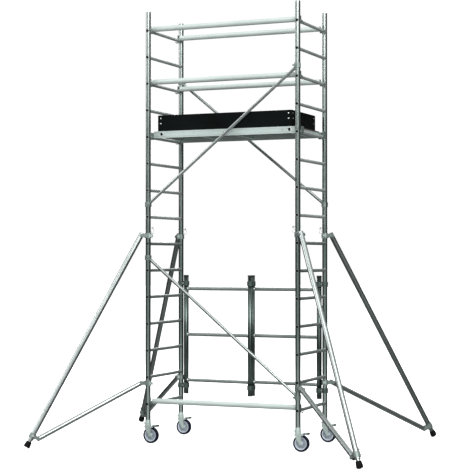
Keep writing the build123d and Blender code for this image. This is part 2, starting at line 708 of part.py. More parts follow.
def brace_clamp():
    """Ring round the main tube with cheeks for the brace."""
    _, _, run = stab_line()
    middle = stab_point(STAB_JOINT_Z)
    bolt = joint_bolt()
    half = COUPLER_HEIGHT / 2
    outer = STAB_TUBE_R + COUPLER_WALL
    ring = rod(xyz(middle - run * half), xyz(middle + run * half), outer)
    body = ring + cheeks(middle, bolt, STAB_BRACE_R, COUPLER_HEIGHT * 0.7)
    body -= rod(xyz(middle - run * 2 * half), xyz(middle + run * 2 * half), STAB_TUBE_R)
    reach = STAB_BRACE_R + COUPLER_PLATE
    return [body - drill(bolt), cross_bolt(bolt, reach)]


def stab_couplers():
    bore = TUBE_R + COUPLER_CLEAR
    return (upright_coupler(STAB_TOP_Z, STAB_TUBE_R, bore)
            + upright_coupler(STAB_LOW_Z, STAB_BRACE_R, bore) + brace_clamp())


def stab_tube():
    pivot, _, run = stab_line()
    start, end = pivot - run * STAB_TAIL, stab_point(STAB_TUBE_END_Z)
    tube = pipe(xyz(start), xyz(end), STAB_TUBE_R, STAB_TUBE_WALL)
    spot = stab_point(STAB_TUBE_END_Z + LOCK_RISE)
    hole = rod((spot.X, 0, spot.Z), (spot.X, STAB_TUBE_R, spot.Z), PLUNGER_R)
    return [tube - drill(pivot) - hole]


def stab_brace():
    bolt, low = joint_bolt(), Vector(STAB_PIVOT, 0, STAB_LOW_Z)
    run = (bolt - low).normalized()
    tube = pipe(xyz(low - run * 18), xyz(bolt + run * 12), STAB_BRACE_R, STAB_BRACE_WALL)
    return [tube - drill(bolt) - drill(low)]


def foot_end():
    """Middle of the foot's end face, where its rounded edge just meets the ground."""
    _, _, run = stab_line()
    return stab_point(FOOT_ROUND + (FOOT_R - FOOT_ROUND) * run.X + FOOT_ROUND * run.Z)


def stab_inner_tube():
    _, _, run = stab_line()
    start = stab_point(STAB_TUBE_END_Z) - run * INNER_LAP
    return [pipe(xyz(start), xyz(foot_end() - run * FOOT_SOLE), STAB_INNER_R, STAB_INNER_WALL)]


def stab_foot():
    """Rubber boot on the inner tube, with a rounded lower edge and a narrower neck."""
    _, _, run = stab_line()
    boot = Cylinder(FOOT_R, FOOT_PAD, align=START)
    boot = fillet(boot.edges().sort_by(Axis.Z)[0], FOOT_ROUND)
    boot += Pos(0, 0, FOOT_PAD) * Cone(FOOT_R, FOOT_NECK_R, FOOT_LENGTH - FOOT_PAD, align=START)
    boot -= Pos(0, 0, FOOT_SOLE) * Cylinder(STAB_INNER_R, FOOT_LENGTH, align=START)
    return [Plane(origin=xyz(foot_end()), z_dir=xyz(run * -1)) * boot]


def stab_lock():
    """Guide bush in the end of the outer tube, and a spring plunger in its wall."""
    _, _, run = stab_line()
    end = stab_point(STAB_TUBE_END_Z)
    bore = STAB_TUBE_R - STAB_TUBE_WALL
    wall = bore - STAB_INNER_R - COUPLER_CLEAR
    bush = pipe(xyz(end - run * BUSH_LENGTH), xyz(end), bore, wall)
    spot = stab_point(STAB_TUBE_END_Z + LOCK_RISE)
    face = STAB_TUBE_R + LOCK_BOSS_STAND
    boss = rod((spot.X, 0, spot.Z), (spot.X, face, spot.Z), LOCK_BOSS_R)
    boss -= rod(xyz(spot - run * TUBE_R), xyz(spot + run * TUBE_R), STAB_TUBE_R)
    plunger = rod((spot.X, STAB_INNER_R + PLUNGER_GAP, spot.Z), (spot.X, face, spot.Z), PLUNGER_R)
    plunger += rod((spot.X, face, spot.Z), (spot.X, face + PLUNGER_HEAD, spot.Z), PLUNGER_HEAD_R)
    return [bush, boss + plunger]


def at_stabiliser(key, pieces):
    sx, sy = CORNERS[key]
    angle = math.radians(STAB_HEADING)
    heading = math.degrees(math.atan2(sy * math.sin(angle), sx * math.cos(angle)))
    place = Pos(sx * HALF_X, sy * HALF_Y, 0) * Rot(0, 0, heading)
    return group(place * piece for piece in pieces)


def nodes():
    left, inner, outer, right = panel_points()
    shapes = {
        "lower_uprights": lower_uprights(),
        "upper_uprights": upper_uprights(),
        "lower_rungs": rungs_of(range(LOWER_RUNGS)),
        "upper_rungs": rungs_of(range(LOWER_RUNGS, LOWER_RUNGS + UPPER_RUNGS)),
        "spigots": spigots(),
        "joint_pins": joint_pins(),
        "left_half_panel": half_panel(left, inner),
        "right_half_panel": half_panel(outer, right),
        "panel_hinges": panel_hinges(),
        "horizontal_braces": horizontal_braces(),
        "rail_hooks": rail_hooks(),
        "diagonal_braces": diagonal_braces(),
        "diagonal_clamps": diagonal_clamps(),
        "platform_frame": platform_frame(),
        "platform_hooks": platform_hooks(),
        "deck_boards": deck_boards(),
        "trapdoor": trapdoor(),
        "trapdoor_hinges": trapdoor_hinges(),
        "toe_boards": toe_boards(),
        "castor_stems": castor_stems(),
    }
    castor = {"fork": castor_fork(), "hub": wheel_hub(), "tyre": tyre(), "pedal": brake_pedal()}
    stabiliser = {"tube": stab_tube(), "brace": stab_brace(), "couplers": stab_couplers(),
                  "lock": stab_lock(), "inner_tube": stab_inner_tube(), "foot": stab_foot()}
    for key in CORNERS:
        for name, pieces in castor.items():
            shapes[f"castor_{key}_{name}"] = at_castor(key, pieces)
        for name, pieces in stabiliser.items():
            shapes[f"stabiliser_{key}_{name}"] = at_stabiliser(key, pieces)
    return shapes


os.makedirs("parts", exist_ok=True)
for label, shape in nodes().items():
    export_step(shape, f"parts/{label}.step")
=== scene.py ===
"""Looks for a rolling scaffold tower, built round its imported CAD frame. Metres, +Z up."""
import json
import math

import bmesh
import bpy
from mathutils import Matrix, Vector


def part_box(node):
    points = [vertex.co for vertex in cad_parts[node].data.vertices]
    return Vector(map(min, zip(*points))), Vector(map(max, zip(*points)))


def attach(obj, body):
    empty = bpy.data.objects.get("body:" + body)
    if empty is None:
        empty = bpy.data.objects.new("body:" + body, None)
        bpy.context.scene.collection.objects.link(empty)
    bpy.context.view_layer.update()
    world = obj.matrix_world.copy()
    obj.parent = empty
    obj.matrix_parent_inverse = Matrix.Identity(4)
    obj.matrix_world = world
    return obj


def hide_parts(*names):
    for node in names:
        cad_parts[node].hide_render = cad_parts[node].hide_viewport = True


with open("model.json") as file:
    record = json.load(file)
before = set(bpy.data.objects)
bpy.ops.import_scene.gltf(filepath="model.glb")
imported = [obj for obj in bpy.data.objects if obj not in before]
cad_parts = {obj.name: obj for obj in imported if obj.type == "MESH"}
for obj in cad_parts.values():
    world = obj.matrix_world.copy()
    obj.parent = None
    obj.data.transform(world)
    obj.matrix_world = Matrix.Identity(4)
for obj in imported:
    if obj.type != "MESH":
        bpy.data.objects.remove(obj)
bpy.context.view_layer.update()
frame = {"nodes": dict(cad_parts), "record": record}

# ---- sizes read from the frame --------------------------------------------
CORNERS = {"fl": (-1, -1), "fr": (1, -1), "bl": (-1, 1), "br": (1, 1)}
JOINTS = {j["name"]: j for j in frame["record"]["behaviour"]["joints"]}
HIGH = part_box("lower_uprights")[1]
RUNG_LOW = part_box("lower_rungs")[0]
TUBE_R = 0.02415
RUNG_R = 0.015
HALF_X = HIGH[0] - TUBE_R
HALF_Y = HIGH[1] - TUBE_R
PITCH = 0.25
FIRST_RUNG_Z = RUNG_LOW[2] + RUNG_R
RUNGS = 15
DECK_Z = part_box("deck_boards")[1][2]
BEAM_LOW, BEAM_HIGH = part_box("platform_frame")
TOE_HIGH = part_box("toe_boards")[1]

# ---- sizes of the CAD that no box gives, in metres --------------------------
BRACE_R = 0.025
PANEL_RAIL_R = 0.017
PANEL_RAIL_INSET = 0.130
HINGE_X = 0.0285            # middle of an outer panel hinge, inside its upright
HINGE_EAR = 0.0135          # face of a hinge ear, from the middle of the hinge
HUB_FACE = 0.018
STAB_REACH = 1.155
STAB_TOP_Z = 1.940
STAB_LOW_Z = 0.560
CLAMP_Z = 0.112


# ---- node materials ---------------------------------------------------------
def socket(node, name, value):
    """Sets an input that this version of Blender may not have."""
    if name in node.inputs:
        node.inputs[name].default_value = value


def noise(nodes, links, vector, scale, detail, rough=None):
    """Noise texture driven by a vector."""
    made = nodes.new("ShaderNodeTexNoise")
    made.inputs["Scale"].default_value = scale
    made.inputs["Detail"].default_value = detail
    if rough:
        made.inputs["Roughness"].default_value = rough
    links.new(vector, made.inputs["Vector"])
    return made.outputs["Fac"]


def remap(nodes, links, value, start, end, low=0.0, high=1.0):
    """Straight ramp from start..end to low..high, held at its ends."""
    made = nodes.new("ShaderNodeMapRange")
    made.inputs["From Min"].default_value = start
    made.inputs["From Max"].default_value = end
    made.inputs["To Min"].default_value = low
    made.inputs["To Max"].default_value = high
    links.new(value, made.inputs["Value"])
    return made.outputs["Result"]


def multiply_add(nodes, links, value, factor, addend):
    """One value times a factor, plus another value."""
    made = nodes.new("ShaderNodeMath")
    made.operation = "MULTIPLY_ADD"
    made.inputs[1].default_value = factor
    links.new(value, made.inputs[0])
    links.new(addend, made.inputs[2])
    return made.outputs[0]


def mix_color(nodes, links, share, below, above):
    """Mix of two colours. Below is a colour or a socket, above is a colour."""
    made = nodes.new("ShaderNodeMix")
    made.data_type = "RGBA"
    made.inputs[7].default_value = (*above, 1)
    links.new(share, made.inputs[0])
    if isinstance(below, tuple):
        made.inputs[6].default_value = (*below, 1)
    else:
        links.new(below, made.inputs[6])
    return made.outputs[2]


def height_light_film(nodes, links, coords, below, color, low, high):
    """Painted light: a pale film, full at one height and gone at another, in metres."""
    split = nodes.new("ShaderNodeSeparateXYZ")
    links.new(coords, split.inputs[0])
    return mix_color(nodes, links, remap(nodes, links, split.outputs["Z"], high, low), below,
                     color)


def relief(nodes, links, specks, streaks, strength):
    """Fine bump from the grain and the specks."""
    made = nodes.new("ShaderNodeBump")
    made.inputs["Strength"].default_value = strength
    made.inputs["Distance"].default_value = 0.0006
    links.new(multiply_add(nodes, links, specks, 0.5, streaks), made.inputs["Height"])
    return made.outputs["Normal"]


def make_material(name, color, dark, metallic, roughness, grain, spread=0.12,
                  bump=0.08, fine=900.0, worn=None, wear=0.0, specular=0.5, height_light=None):
    """Two tones in slow patches, directional grain, roughness that varies and a fine bump."""
    mat = bpy.data.materials.new(name)
    mat.use_nodes = True
    nodes, links = mat.node_tree.nodes, mat.node_tree.links
    shader = nodes["Principled BSDF"]
    socket(shader, "Metallic", metallic)
    socket(shader, "Specular IOR Level", specular)
    coords = nodes.new("ShaderNodeTexCoord").outputs["Object"]
    stretch = nodes.new("ShaderNodeMapping")
    stretch.inputs["Scale"].default_value = grain
    links.new(coords, stretch.inputs["Vector"])
    streaks = noise(nodes, links, stretch.outputs["Vector"], 1.0, 5.0, 0.6)
    patches = noise(nodes, links, coords, 4.0, 6.0)
    specks = noise(nodes, links, coords, fine, 3.0)
    blend = multiply_add(nodes, links, streaks, 0.55, patches)
    out = mix_color(nodes, links, remap(nodes, links, blend, 0.5, 1.0), dark, color)
    if worn:
        mask = noise(nodes, links, coords, 38.0, 9.0, 0.72)
        edge = remap(nodes, links, mask, 0.62 - wear, 0.72 - wear)
        out = mix_color(nodes, links, edge, out, worn)
    # pale film by height: painted light
    if height_light:
        out = height_light_film(nodes, links, coords, out, *height_light)
    links.new(out, shader.inputs["Base Color"])
    rough = remap(nodes, links, streaks, 0.3, 0.7, max(0.05, roughness - spread),
                  min(1.0, roughness + spread))
    links.new(rough, shader.inputs["Roughness"])
    links.new(relief(nodes, links, specks, streaks, bump), shader.inputs["Normal"])
    return mat


ALONG = {"x": (5, 420, 420), "y": (420, 5, 420), "z": (420, 420, 5)}


def aluminium(name, direction, color, dark, roughness=0.30, metallic=1.0, worn=None, height_light=None):
    """Drawn metal with its grain along one axis."""
    return make_material(name, color, dark, metallic, roughness, ALONG[direction], spread=0.08,
                         bump=0.10, worn=worn, height_light=height_light)


# The upper and lower frames and rungs are one aluminium: the paler upper copies are painted light,
# the darker lower copies are painted shade.
MATS = {
    # upper frame: pale film full at 3.85 m and gone at 3.0 m, painted light from above
    "upper": aluminium("aluminium_upper_frame", "z", (0.235, 0.275, 0.26), (0.155, 0.185, 0.175),
                       worn=(0.20, 0.23, 0.22), height_light=((0.34, 0.375, 0.365), 3.85, 3.0)),
    # lower frame: pale film full at 0.20 m and gone at 1.05 m, painted light near the floor
    "lower": aluminium("aluminium_lower_frame", "z", (0.20, 0.24, 0.225), (0.13, 0.165, 0.155),
                       worn=(0.29, 0.33, 0.315), height_light=((0.42, 0.48, 0.46), 0.20, 1.05)),
    "panel": aluminium("aluminium_panel", "z", (0.135, 0.17, 0.157), (0.085, 0.11, 0.10),
                       worn=(0.23, 0.265, 0.25)),
    "upper_rung": aluminium("aluminium_upper_rung", "y", (0.47, 0.505, 0.50), (0.36, 0.39, 0.385),
                            0.48, 0.35, worn=(0.28, 0.31, 0.30)),
    "lower_rung": aluminium("aluminium_lower_rung", "y", (0.27, 0.30, 0.29), (0.19, 0.215, 0.205),
                            0.44, 0.45, worn=(0.16, 0.18, 0.175)),
    "rail": aluminium("aluminium_rail", "x", (0.60, 0.665, 0.645), (0.51, 0.57, 0.55), 0.50, 0.25,
                      worn=(0.42, 0.47, 0.455)),
    "brace": make_material("aluminium_brace", (0.46, 0.49, 0.485), (0.32, 0.35, 0.345), 1.0, 0.32,
                           (90, 90, 90), bump=0.08, worn=(0.26, 0.29, 0.28)),
    # back stabilisers: a darker copy of the brace aluminium, painted shade
    "stab_back_shaded": make_material("aluminium_back_stabiliser_shaded", (0.235, 0.26, 0.25),
                               (0.165, 0.185, 0.178), 1.0, 0.34, (90, 90, 90), bump=0.08,
                               worn=(0.14, 0.16, 0.155)),
    "beam": aluminium("aluminium_beam", "x", (0.57, 0.65, 0.63), (0.46, 0.53, 0.51), 0.46, 0.4,
                      worn=(0.36, 0.42, 0.40)),
    "cast": make_material("cast_aluminium", (0.33, 0.385, 0.365), (0.19, 0.23, 0.215), 0.8, 0.52,
                          (160, 160, 160), bump=0.45, fine=1400.0, worn=(0.42, 0.46, 0.45)),
    "zinc": make_material("zinc_plate", (0.60, 0.69, 0.655), (0.44, 0.515, 0.49), 0.40, 0.42,
                          (130, 130, 130), bump=0.15, worn=(0.34, 0.38, 0.365)),
    "dark": make_material("dark_casting", (0.10, 0.135, 0.125), (0.045, 0.065, 0.06), 0.6, 0.50,
                          (140, 140, 140), bump=0.4, fine=1300.0, worn=(0.40, 0.44, 0.43),
                          wear=-0.02),
    "deck": make_material("phenolic_ply", (0.058, 0.044, 0.036), (0.032, 0.025, 0.021), 0.0, 0.6,
                          (26, 4, 26), bump=0.5, fine=700.0, worn=(0.15, 0.115, 0.085), wear=0.01,
                          specular=0.25),
    "toe": make_material("black_film_ply", (0.0062, 0.0078, 0.0078), (0.0035, 0.0042, 0.0042), 0.0,
                         0.55, (6, 40, 160), bump=0.22, fine=900.0,
                         worn=(0.010, 0.012, 0.012), wear=0.02, specular=0.02),
    "tyre": make_material("tyre_rubber", (0.010, 0.012, 0.032), (0.005, 0.006, 0.017), 0.0, 0.68,
                          (70, 70, 70), bump=0.5, fine=1500.0, worn=(0.07, 0.075, 0.085),
                          wear=-0.02, specular=0.12),
    "hub": make_material("wheel_centre_plastic", (0.36, 0.41, 0.46), (0.26, 0.305, 0.34), 0.0,
                         0.46, (50, 50, 50), bump=0.18, fine=1200.0, worn=(0.30, 0.32, 0.33)),
    "rim": make_material("wheel_rim_plastic", (0.62, 0.66, 0.74), (0.50, 0.54, 0.61), 0.0, 0.40,
                         (50, 50, 50), bump=0.15, fine=1200.0, worn=(0.24, 0.27, 0.275)),
    "foot": make_material("foot_rubber", (0.0075, 0.0080, 0.0080), (0.004, 0.0045, 0.0045), 0.0,
                          0.7, (80, 80, 80), bump=0.5, fine=1600.0, worn=(0.030, 0.029, 0.027),
                          wear=-0.02, specular=0.12),
    "bolt": make_material("bolt_steel", (0.80, 0.82, 0.82), (0.58, 0.60, 0.60), 1.0, 0.30,
                          (220, 220, 220), bump=0.12, worn=(0.45, 0.46, 0.45)),
    "hole": make_material("hole_shadow", (0.012, 0.014, 0.014), (0.006, 0.006, 0.006), 0.0, 0.9,
                          (90, 90, 90), bump=0.1, specular=0.1),
    "cap": make_material("cap_plastic", (0.030, 0.034, 0.034), (0.016, 0.018, 0.018), 0.0, 0.55,
                         (90, 90, 90), bump=0.3, fine=1400.0, worn=(0.08, 0.085, 0.085)),
    "weld": make_material("weld_bead", (0.60, 0.64, 0.63), (0.40, 0.44, 0.43), 1.0, 0.42,
                          (300, 300, 300), bump=0.5, fine=1800.0, worn=(0.28, 0.30, 0.29)),
    "shade": make_material("groove_shadow", (0.30, 0.33, 0.32), (0.20, 0.22, 0.22), 0.6, 0.6,
                           (90, 90, 90), bump=0.1),
}


def dress(node, key):
    """Gives a CAD node one of the materials, without a change to its mesh."""
    obj = frame["nodes"][node]
    for index in range(max(1, len(obj.data.materials))):
        if obj.data.materials:
            obj.material_slots[index].link = "OBJECT"
            obj.material_slots[index].material = MATS[key]


# ---- mesh helpers -----------------------------------------------------------
def piece(name, bm, mats, body, smooth=True, bevel=0.0):
    """A mesh object that rides on a CAD body."""
    bmesh.ops.recalc_face_normals(bm, faces=bm.faces)
    mesh = bpy.data.meshes.new(name)
    bm.to_mesh(mesh)
    bm.free()
    obj = bpy.data.objects.new(name, mesh)
    bpy.context.scene.collection.objects.link(obj)
    for mat in mats:
        mesh.materials.append(mat)
    for face in mesh.polygons:
        face.use_smooth = smooth
    if bevel:
        mod = obj.modifiers.new("edges", "BEVEL")
        mod.width = bevel
        mod.segments = 2
        mod.limit_method = "ANGLE"
        mod.angle_limit = math.radians(40)
    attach(obj, body)
    return obj


def aim(direction):
    """Rotation that takes +Z to a direction."""
    return Vector(direction).to_track_quat("Z", "Y").to_matrix().to_4x4()


def aim_x(direction):
    """Rotation about Z that takes +X to a level direction."""
    return Matrix.Rotation(math.atan2(direction.y, direction.x), 4, "Z")


def lathe(bm, profile, place, segments=40, material=0):
    """Turns (radius, height) points round the Z axis of a placing matrix."""
    rings = []
    for radius, height in profile:
        if radius < 1e-6:
            rings.append([bm.verts.new(place @ Vector((0, 0, height)))])
            continue
        ring = []
        for step in range(segments):
            turn = 2 * math.pi * step / segments
            ring.append(bm.verts.new(place @ Vector((radius * math.cos(turn),
                                                     radius * math.sin(turn), height))))
        rings.append(ring)
    for a, b in zip(rings, rings[1:]):
        for step in range(segments):
            nxt = (step + 1) % segments
            corners = []
            for vert in (a[step % len(a)], a[nxt % len(a)], b[nxt % len(b)], b[step % len(b)]):
                if vert not in corners:
                    corners.append(vert)
            if len(corners) > 2:
                bm.faces.new(corners).material_index = material


def cuboid(bm, centre, size, turn=None, material=0):
    """Box with a centre, a size and an optional rotation."""
    rot = turn if turn is not None else Matrix.Identity(4)
    made = bmesh.ops.create_cube(bm, size=1.0, matrix=Matrix.Translation(centre) @ rot
                                 @ Matrix.Diagonal((*size, 1)))
    for vert in made["verts"]:
        for face in vert.link_faces:
            face.material_index = material


def bolt_profile(radius, height):
    """Domed screw head."""
    return [(0, height), (radius * 0.45, height * 0.96), (radius * 0.8, height * 0.72),
            (radius, height * 0.25), (radius, 0)]


def hex_head(bm, spot, axis, radius, height):
    """Hexagon head with a washer under it."""
    place = Matrix.Translation(spot) @ aim(axis)
    lathe(bm, [(radius * 1.35, 0), (radius * 1.35, height * 0.22), (radius * 0.9, height * 0.22)],
          place, 28)
    lathe(bm, [(radius, height * 0.2), (radius, height * 0.85), (radius * 0.82, height),
               (0, height)], place, 6)


def wire(bm, spine, radius, sides=8):
    """Round wire that follows a list of points."""
    rings = []
    for i, point in enumerate(spine):
        ahead = spine[min(i + 1, len(spine) - 1)] - spine[max(i - 1, 0)]
        turn = aim(ahead)
        ring = []
        for step in range(sides):
            a = 2 * math.pi * step / sides
            ring.append(bm.verts.new(point + turn @ Vector((radius * math.cos(a),
                                                            radius * math.sin(a), 0))))
        rings.append(ring)
    for a, b in zip(rings, rings[1:]):
        for step in range(sides):
            nxt = (step + 1) % sides
            bm.faces.new((a[step], a[nxt], b[nxt], b[step]))
    bm.faces.new(rings[0])
    bm.faces.new(rings[-1])


# ---- materials of the CAD nodes ----------------------------------------------
for node_name, key in {
        "lower_uprights": "lower", "upper_uprights": "upper", "lower_rungs": "lower_rung",
        "upper_rungs": "upper_rung", "spigots": "upper", "joint_pins": "zinc",
        "left_half_panel": "panel", "right_half_panel": "panel", "panel_hinges": "dark",
        "horizontal_braces": "rail", "rail_hooks": "cast", "diagonal_braces": "brace",
        "diagonal_clamps": "cast", "platform_frame": "beam", "platform_hooks": "cast",
        "deck_boards": "deck", "trapdoor": "deck", "trapdoor_hinges": "zinc",
        "toe_boards": "toe", "castor_stems": "zinc"}.items():
    dress(node_name, key)
for corner in CORNERS:
    for part, key in {"fork": "zinc", "hub": "hub", "tyre": "tyre", "pedal": "cast"}.items():
        dress(f"castor_{corner}_{part}", key)
    # the back stabilisers take the darker copy, painted shade
    tube = "stab_back_shaded" if corner[0] == "b" else "brace"
    for part, key in {"tube": tube, "brace": tube, "couplers": "cast", "lock": "cast",
                      "inner_tube": tube, "foot": "foot"}.items():
        dress(f"stabiliser_{corner}_{part}", key)


# ---- frame details -------------------------------------------------------------
def bead(bm, x, y, z, side, rung_r, foot, rise):
    """Weld bead where a rung meets the round face of an upright. side is +1 or -1 along Y."""
    steps = 20
    rows = ((rung_r, rise), (rung_r + foot * 0.45, rise * 0.62), (rung_r + foot, -0.0003))
    rings = []
    for radius, lift in rows:
        ring = []
        for step in range(steps):
            turn = 2 * math.pi * step / steps
            across = radius * math.cos(turn)
            face = math.sqrt(TUBE_R ** 2 - min(across ** 2, TUBE_R ** 2 * 0.97))
            ring.append(bm.verts.new((x + across, y + side * (face + lift),
                                      z + radius * math.sin(turn))))
        rings.append(ring)
    for a, b in zip(rings, rings[1:]):
        for step in range(steps):
            nxt = (step + 1) % steps
            bm.faces.new((a[step], a[nxt], b[nxt], b[step]))


def weld_beads():
    """Beads on both sides of every joint between a rung and an upright."""
    bm = bmesh.new()
    for sx, sy in CORNERS.values():
        for index in range(RUNGS):
            z = FIRST_RUNG_Z + index * PITCH
            bead(bm, sx * HALF_X, sy * HALF_Y, z, -sy, RUNG_R, 0.0042, 0.0046)
            bead(bm, sx * HALF_X, sy * HALF_Y, z, sy, RUNG_R - 0.0022, 0.0030, 0.0012)
    piece("weld_beads", bm, [MATS["weld"]], "tower")


def rung_end_shade_discs():
    """Dark discs recessed in the open ends of the rungs: painted shade for the deep shadow inside
    the tubes.
    """
    bm = bmesh.new()
    for node in ("lower_rungs", "upper_rungs"):
        low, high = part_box(node)
        for index in range(RUNGS):
            z = FIRST_RUNG_Z + index * PITCH
            if low[2] < z < high[2]:
                for sx in (-1, 1):
                    for s, end in ((-1, low[1]), (1, high[1])):
                        place = Matrix.Translation((sx * HALF_X, end - s * 0.0025, z))
                        lathe(bm, [(0, 0.0002), (RUNG_R - 0.0023, 0.0002)],
                              place @ aim((0, s, 0)), 28)
    piece("rung_end_shade_discs", bm, [MATS["hole"]], "tower")


def panel_posts(node):
    """Plan points and levels of the outer and the inner post of a half panel."""
    low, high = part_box(node)
    left, right = low[0] + TUBE_R, high[0] - TUBE_R
    if node.startswith("left"):
        return (left, HALF_Y), (right, low[1] + TUBE_R), low[2], high[2]
    return (right, HALF_Y), (left, high[1] - TUBE_R), low[2], high[2]


def panel_tubes(node):
    """Posts and rails of a half panel, each in its own finish, with welds between them."""
    outer, inner, bottom, top = panel_posts(node)
    bm = bmesh.new()
    for x, y in (outer, inner):
        lathe(bm, [(TUBE_R - 0.003, bottom), (TUBE_R, bottom), (TUBE_R, top),
                   (TUBE_R - 0.003, top)], Matrix.Translation((x, y, 0)), 48, 0)
    start, end = Vector((*outer, 0)), Vector((*inner, 0))
    run = (end - start).normalized()
    length = (end - start).length
    turn = aim(run)
    for level in (bottom + PANEL_RAIL_INSET, (bottom + top) / 2, top - PANEL_RAIL_INSET):
        place = Matrix.Translation(start + Vector((0, 0, level))) @ turn
        near, far = TUBE_R * 0.8, length - TUBE_R * 0.8
        lathe(bm, [(PANEL_RAIL_R, near), (PANEL_RAIL_R, far)], place, 40, 1)
        for at, side in ((TUBE_R, 1), (length - TUBE_R, -1)):
            lathe(bm, [(PANEL_RAIL_R + 0.0034, at - side * 0.0070),
                       (PANEL_RAIL_R + 0.0030, at + side * 0.0010),
                       (PANEL_RAIL_R + 0.0004, at + side * 0.0046)], place, 40, 2)
    tubes = piece(f"{node}_tubes", bm, [MATS["panel"], MATS["lower_rung"], MATS["weld"]],
                  "tower")
    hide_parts(node)


def panel_caps():
    """Plastic caps on the ends of the folding panel's posts."""
    bm = bmesh.new()
    profile = [(0, 0.004), (TUBE_R - 0.002, 0.004), (TUBE_R, 0.002), (TUBE_R + 0.0006, -0.012),
               (TUBE_R - 0.0005, -0.0125)]
    for node in ("left_half_panel", "right_half_panel"):
        outer, inner, bottom, top = panel_posts(node)
        for x, y in (outer, inner):
            lathe(bm, profile, Matrix.Translation((x, y, top)), 32)
            lathe(bm, profile,
                  Matrix.Translation((x, y, bottom)) @ Matrix.Rotation(math.pi, 4, "X"), 32)
    piece("panel_post_caps", bm, [MATS["cap"]], "tower")


def hinge_bolts():
    """Bolts through the ears of the panel's hinge brackets."""
    bm = bmesh.new()
    low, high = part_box("panel_hinges")
    centres = (-HALF_X + HINGE_X, 0.0, HALF_X - HINGE_X)
    for x in centres:
        axis = (0, 1, 0) if x else (1, 0, 0)
        for z in (low[2] + 0.022, high[2] - 0.022):
            for s in (-1, 1):
                spot = Vector((x, HALF_Y, z)) + Vector(axis) * s * HINGE_EAR
                hex_head(bm, spot, Vector(axis) * s, 0.008, 0.007)
    piece("hinge_bolts", bm, [MATS["bolt"]], "tower", smooth=False)


def joint_clips():
    """Spring clips that keep the locking pins of the frame joints in."""
    bm = bmesh.new()
    reach, wide, drop, steps = 0.046, 0.030, 0.022, 24
    low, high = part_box("joint_pins")
    z = (low[2] + high[2]) / 2
    for sx, sy in CORNERS.values():
        x, y = sx * HALF_X, sy * HALF_Y
        spine = []
        for step in range(steps + 1):
            turn = math.pi * (0.12 + 1.76 * step / steps)
            spine.append(Vector((x - sx * reach, y + wide * math.sin(turn) * 0.9,
                                 z - 0.008 + drop * (math.cos(turn) - 1))))
        wire(bm, spine, 0.0017)
    piece("joint_clips", bm, [MATS["bolt"]], "tower")


def brace_rivets():
    """Rivets that hold the hook castings in the ends of the horizontal braces."""
    bm = bmesh.new()
    low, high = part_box("horizontal_braces")
    rows = [(low[1] + BRACE_R, low[2] + BRACE_R)]
    for z in (high[2] - BRACE_R, high[2] - BRACE_R - 2 * PITCH):
        rows += [(low[1] + BRACE_R, z), (high[1] - BRACE_R, z)]
    for y, z in rows:
        for s in (-1, 1):
            for back in (0.018, 0.048):
                for side in (-1, 1):
                    place = Matrix.Translation((s * (high[0] - back),
                                                y + side * BRACE_R * 0.985, z))
                    lathe(bm, bolt_profile(0.0046, 0.0024), place @ aim((0, side, 0)), 16)
    piece("brace_rivets", bm, [MATS["bolt"]], "tower")


# ---- platform details -----------------------------------------------------------
def toe_bolts():
    """Two domed bolts at each end of every toe board."""
    bm = bmesh.new()
    levels = (TOE_HIGH[2] - 0.030, TOE_HIGH[2] - 0.078)
    for s in (-1, 1):
        for t in (-1, 1):
            for z in levels:
                side = Matrix.Translation((t * (TOE_HIGH[0] - 0.030), s * TOE_HIGH[1], z))
                lathe(bm, bolt_profile(0.0078, 0.0036), side @ aim((0, s, 0)), 24)
                end = Matrix.Translation((s * TOE_HIGH[0], t * (TOE_HIGH[1] - 0.034), z))
                lathe(bm, bolt_profile(0.0062, 0.0030), end @ aim((s, 0, 0)), 24)
    piece("toe_board_bolts", bm, [MATS["bolt"]], "tower")


def beam_trim():
    """Holes and pressed lines on the outside of the deck's side beams."""
    bm = bmesh.new()
    z = BEAM_HIGH[2] - 0.027
    line_tall = 0.0012
    for s in (-1, 1):
        face = s * BEAM_HIGH[1]
        for x, radius in ((-0.635, 0.0155), (0.650, 0.0155), (0.003, 0.0042), (0.086, 0.0042),
                          (-0.30, 0.0042), (0.582, 0.0060)):
            place = Matrix.Translation((x, face, z)) @ aim((0, s, 0))
            lathe(bm, [(0, 0.0004), (radius * 0.86, 0.0004)], place, 28, 0)
            lathe(bm, [(radius * 0.86, 0.0003), (radius * 0.9, 0.0012), (radius * 1.1, 0.0010),
                       (radius * 1.16, 0.0)], place, 28, 1)
        for level in (BEAM_HIGH[2] - 0.0135, BEAM_LOW[2] + 0.012):
            cuboid(bm, (0, face + s * 0.0001, level),
                   (BEAM_HIGH[0] * 2 - 0.004, 0.0006, line_tall), material=2)
    piece("beam_trim", bm, [MATS["hole"], MATS["bolt"], MATS["shade"]], "tower")


def deck_screws():
    """Countersunk screws along the deck boards."""
    bm = bmesh.new()
    low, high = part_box("deck_boards")
    for s in (-1, 1):
        for step in range(12):
            x = low[0] + 0.04 + step * (high[0] - low[0] - 0.08) / 11
            place = Matrix.Translation((x, s * (high[1] - 0.016), DECK_Z))
            lathe(bm, bolt_profile(0.0052, 0.0014), place, 18)
    piece("deck_screws", bm, [MATS["bolt"]], "tower")


